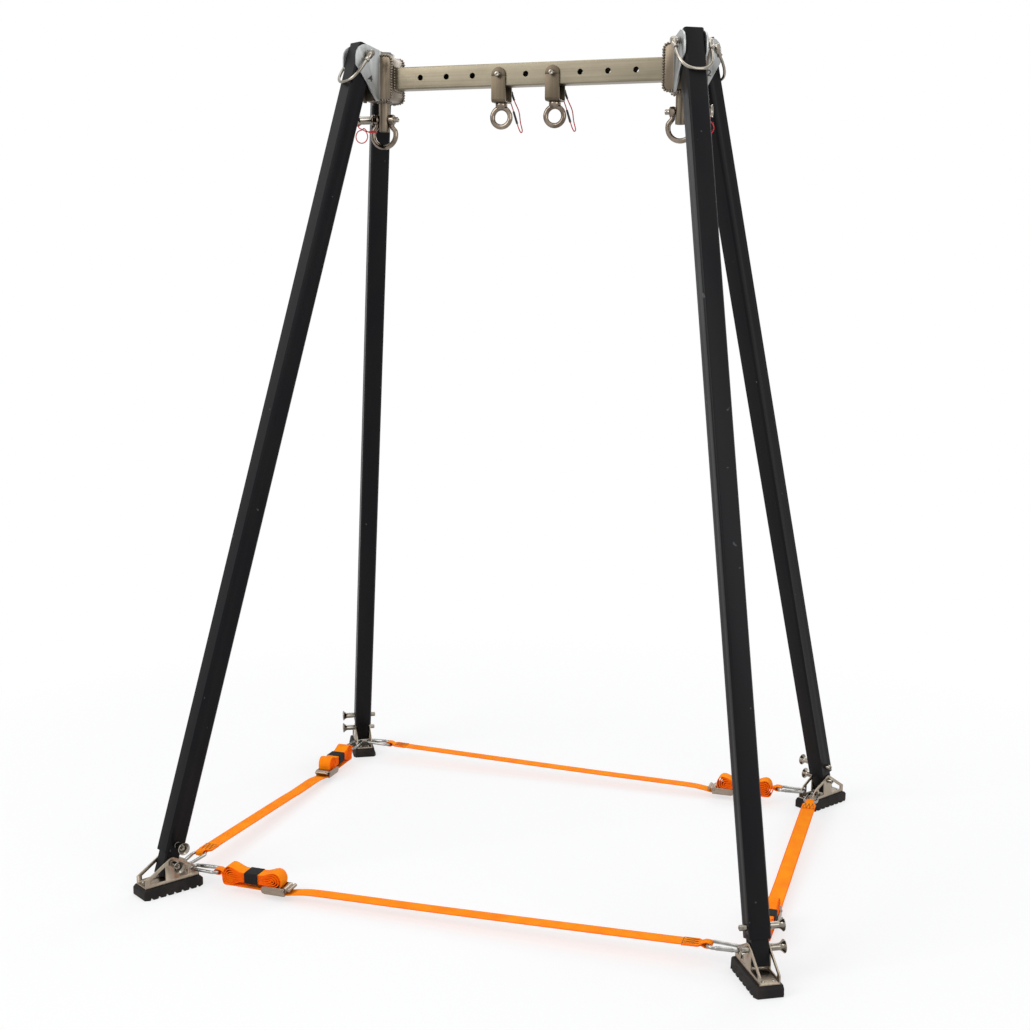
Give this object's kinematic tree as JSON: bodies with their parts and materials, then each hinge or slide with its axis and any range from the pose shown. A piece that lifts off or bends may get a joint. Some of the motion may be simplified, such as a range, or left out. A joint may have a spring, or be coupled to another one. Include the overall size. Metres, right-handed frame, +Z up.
{
  "type": "rescue quadpod",
  "caption": "Free-standing rescue frame: a drilled crossbar on four splayed telescopic legs with hinged feet, tied by webbing straps with cam buckles.",
  "frame": {"origin": "on the ground under the middle of the crossbar", "axes": "+X along the crossbar, +Y to the back, +Z up"},
  "size_m": [1.452, 1.2132, 1.8919],
  "materials": {
    "black_anodised": "black anodised, satin",
    "black_rubber": "matt, ribbed underneath",
    "bracket_stainless": "darker brushed plate",
    "brushed_stainless": "brushed along the bar",
    "buckle_steel": "stamped steel, bright",
    "foot_stainless": "satin folded plate",
    "inner_black_anodised": "black anodised, satin",
    "orange_webbing": "woven polyester webbing, orange",
    "polished_steel": "polished",
    "satin_stainless": "satin, bead-welded",
    "zinc_plated_steel": "bright zinc plating"
  },
  "bodies": {
    "top": {"crossbar": "brushed_stainless", "left_head": "satin_stainless", "right_head": "satin_stainless"},
    "front_left_leg": {"front_left_leg": "black_anodised", "front_left_lock_pin": "polished_steel"},
    "front_left_inner_leg": {"front_left_inner_leg": "inner_black_anodised", "front_left_foot_pin": "polished_steel"},
    "front_left_foot": {"front_left_foot_bracket": "foot_stainless", "front_left_foot_pad": "black_rubber", "front_near_hook": "zinc_plated_steel", "front_strap": "orange_webbing", "front_buckle_frame": "buckle_steel", "left_far_hook": "zinc_plated_steel"},
    "front_left_bail": {"front_left_bail_pin": "polished_steel"},
    "front_right_leg": {"front_right_leg": "black_anodised", "front_right_lock_pin": "polished_steel"},
    "front_right_inner_leg": {"front_right_inner_leg": "inner_black_anodised", "front_right_foot_pin": "polished_steel"},
    "front_right_foot": {"front_right_foot_bracket": "foot_stainless", "front_right_foot_pad": "black_rubber", "front_far_hook": "zinc_plated_steel", "right_near_hook": "zinc_plated_steel", "right_strap": "orange_webbing", "right_buckle_frame": "buckle_steel"},
    "front_right_bail": {"front_right_bail_pin": "polished_steel"},
    "back_right_leg": {"back_right_leg": "black_anodised", "back_right_lock_pin": "polished_steel"},
    "back_right_inner_leg": {"back_right_inner_leg": "inner_black_anodised", "back_right_foot_pin": "polished_steel"},
    "back_right_foot": {"back_right_foot_bracket": "foot_stainless", "back_right_foot_pad": "black_rubber", "right_far_hook": "zinc_plated_steel", "back_near_hook": "zinc_plated_steel", "back_strap": "orange_webbing", "back_buckle_frame": "buckle_steel"},
    "back_right_bail": {"back_right_bail_pin": "polished_steel"},
    "back_left_leg": {"back_left_leg": "black_anodised", "back_left_lock_pin": "polished_steel"},
    "back_left_inner_leg": {"back_left_inner_leg": "inner_black_anodised", "back_left_foot_pin": "polished_steel"},
    "back_left_foot": {"back_left_foot_bracket": "foot_stainless", "back_left_foot_pad": "black_rubber", "back_far_hook": "zinc_plated_steel", "left_near_hook": "zinc_plated_steel", "left_strap": "orange_webbing", "left_buckle_frame": "buckle_steel"},
    "back_left_bail": {"back_left_bail_pin": "polished_steel"},
    "front_cam": {"front_cam_lever": "buckle_steel"},
    "right_cam": {"right_cam_lever": "buckle_steel"},
    "back_cam": {"back_cam_lever": "buckle_steel"},
    "left_cam": {"left_cam_lever": "buckle_steel"},
    "left_shackle": {"left_shackle": "polished_steel", "left_shackle_pin": "polished_steel"},
    "left_hanger": {"left_hanger": "bracket_stainless", "left_hanger_pin": "polished_steel"},
    "right_shackle": {"right_shackle": "polished_steel", "right_shackle_pin": "polished_steel"},
    "right_hanger": {"right_hanger": "bracket_stainless", "right_hanger_pin": "polished_steel"}
  },
  "joints": [
    {"name": "front_left_leg_fold", "type": "hinge", "parent": "top", "child": "front_left_leg", "pos_m": [-0.3835, -0.0598, 1.86532], "axis": [-0.8599, 0.5105, 0], "range_deg": [-10, 0], "deforming": ["front_strap", "right_strap", "back_strap", "left_strap"]},
    {"name": "front_left_leg_extend", "type": "slide", "parent": "front_left_leg", "child": "front_left_inner_leg", "axis": [-0.1481, -0.2494, -0.957], "range_m": [0, 0.3]},
    {"name": "front_left_foot_tilt", "type": "hinge", "parent": "front_left_inner_leg", "child": "front_left_foot", "pos_m": [-0.66144, -0.5279, 0.069], "axis": [-0.8599, 0.5105, 0], "range_deg": [0, 10]},
    {"name": "front_left_bail_lift", "type": "hinge", "parent": "front_left_leg", "child": "front_left_bail", "pos_m": [-0.3835, -0.0598, 1.86532], "axis": [-0.8599, 0.5105, 0], "range_deg": [0, 110]},
    {"name": "front_right_leg_fold", "type": "hinge", "parent": "top", "child": "front_right_leg", "pos_m": [0.3835, -0.0598, 1.86532], "axis": [-0.8599, -0.5105, 0], "range_deg": [-10, 0]},
    {"name": "front_right_leg_extend", "type": "slide", "parent": "front_right_leg", "child": "front_right_inner_leg", "axis": [0.1481, -0.2494, -0.957], "range_m": [0, 0.3]},
    {"name": "front_right_foot_tilt", "type": "hinge", "parent": "front_right_inner_leg", "child": "front_right_foot", "pos_m": [0.66144, -0.5279, 0.069], "axis": [-0.8599, -0.5105, 0], "range_deg": [0, 10]},
    {"name": "front_right_bail_lift", "type": "hinge", "parent": "front_right_leg", "child": "front_right_bail", "pos_m": [0.3835, -0.0598, 1.86532], "axis": [-0.8599, -0.5105, 0], "range_deg": [0, 110]},
    {"name": "back_right_leg_fold", "type": "hinge", "parent": "top", "child": "back_right_leg", "pos_m": [0.3835, 0.0598, 1.86532], "axis": [0.8599, -0.5105, 0], "range_deg": [-10, 0]},
    {"name": "back_right_leg_extend", "type": "slide", "parent": "back_right_leg", "child": "back_right_inner_leg", "axis": [0.1481, 0.2494, -0.957], "range_m": [0, 0.3]},
    {"name": "back_right_foot_tilt", "type": "hinge", "parent": "back_right_inner_leg", "child": "back_right_foot", "pos_m": [0.66144, 0.5279, 0.069], "axis": [0.8599, -0.5105, 0], "range_deg": [0, 10]},
    {"name": "back_right_bail_lift", "type": "hinge", "parent": "back_right_leg", "child": "back_right_bail", "pos_m": [0.3835, 0.0598, 1.86532], "axis": [0.8599, -0.5105, 0], "range_deg": [0, 110]},
    {"name": "back_left_leg_fold", "type": "hinge", "parent": "top", "child": "back_left_leg", "pos_m": [-0.3835, 0.0598, 1.86532], "axis": [0.8599, 0.5105, 0], "range_deg": [-10, 0]},
    {"name": "back_left_leg_extend", "type": "slide", "parent": "back_left_leg", "child": "back_left_inner_leg", "axis": [-0.1481, 0.2494, -0.957], "range_m": [0, 0.3]},
    {"name": "back_left_foot_tilt", "type": "hinge", "parent": "back_left_inner_leg", "child": "back_left_foot", "pos_m": [-0.66144, 0.5279, 0.069], "axis": [0.8599, 0.5105, 0], "range_deg": [0, 10]},
    {"name": "back_left_bail_lift", "type": "hinge", "parent": "back_left_leg", "child": "back_left_bail", "pos_m": [-0.3835, 0.0598, 1.86532], "axis": [0.8599, 0.5105, 0], "range_deg": [0, 110]},
    {"name": "front_cam_lift", "type": "hinge", "parent": "front_left_foot", "child": "front_cam", "pos_m": [-0.38725, -0.48592, 0.025], "axis": [0, -1, 0], "range_deg": [0, 60], "stiffness_Nm_per_rad": 0.05, "springref_deg": -20.05},
    {"name": "right_cam_lift", "type": "hinge", "parent": "front_right_foot", "child": "right_cam", "pos_m": [0.64764, -0.2395, 0.025], "axis": [1, 0, 0], "range_deg": [0, 60], "stiffness_Nm_per_rad": 0.05, "springref_deg": -20.05},
    {"name": "back_cam_lift", "type": "hinge", "parent": "back_right_foot", "child": "back_cam", "pos_m": [0.38725, 0.48592, 0.025], "axis": [0, 1, 0], "range_deg": [0, 60], "stiffness_Nm_per_rad": 0.05, "springref_deg": -20.05},
    {"name": "left_cam_lift", "type": "hinge", "parent": "back_left_foot", "child": "left_cam", "pos_m": [-0.64764, 0.2395, 0.025], "axis": [-1, 0, 0], "range_deg": [0, 60], "stiffness_Nm_per_rad": 0.05, "springref_deg": -20.05},
    {"name": "left_shackle_swing", "type": "hinge", "parent": "top", "child": "left_shackle", "pos_m": [-0.352, 0, 1.72632], "axis": [1, 0, 0], "range_deg": [-60, 60]},
    {"name": "left_hanger_swing", "type": "hinge", "parent": "top", "child": "left_hanger", "pos_m": [-0.0634, 0, 1.81632], "axis": [0, 1, 0], "range_deg": [-20, 40]},
    {"name": "right_shackle_swing", "type": "hinge", "parent": "top", "child": "right_shackle", "pos_m": [0.352, 0, 1.72632], "axis": [1, 0, 0], "range_deg": [-60, 60]},
    {"name": "right_hanger_swing", "type": "hinge", "parent": "top", "child": "right_hanger", "pos_m": [0.0634, 0, 1.81632], "axis": [0, -1, 0], "range_deg": [-20, 40]}
  ],
  "couplings": [
    {"joint": "front_left_foot_tilt", "follows": "front_left_leg_fold", "ratio": -1},
    {"joint": "front_right_leg_fold", "follows": "front_left_leg_fold", "ratio": 1},
    {"joint": "front_right_foot_tilt", "follows": "front_left_leg_fold", "ratio": -1},
    {"joint": "back_right_leg_fold", "follows": "front_left_leg_fold", "ratio": 1},
    {"joint": "back_right_foot_tilt", "follows": "front_left_leg_fold", "ratio": -1},
    {"joint": "back_left_leg_fold", "follows": "front_left_leg_fold", "ratio": 1},
    {"joint": "back_left_foot_tilt", "follows": "front_left_leg_fold", "ratio": -1}
  ]
}
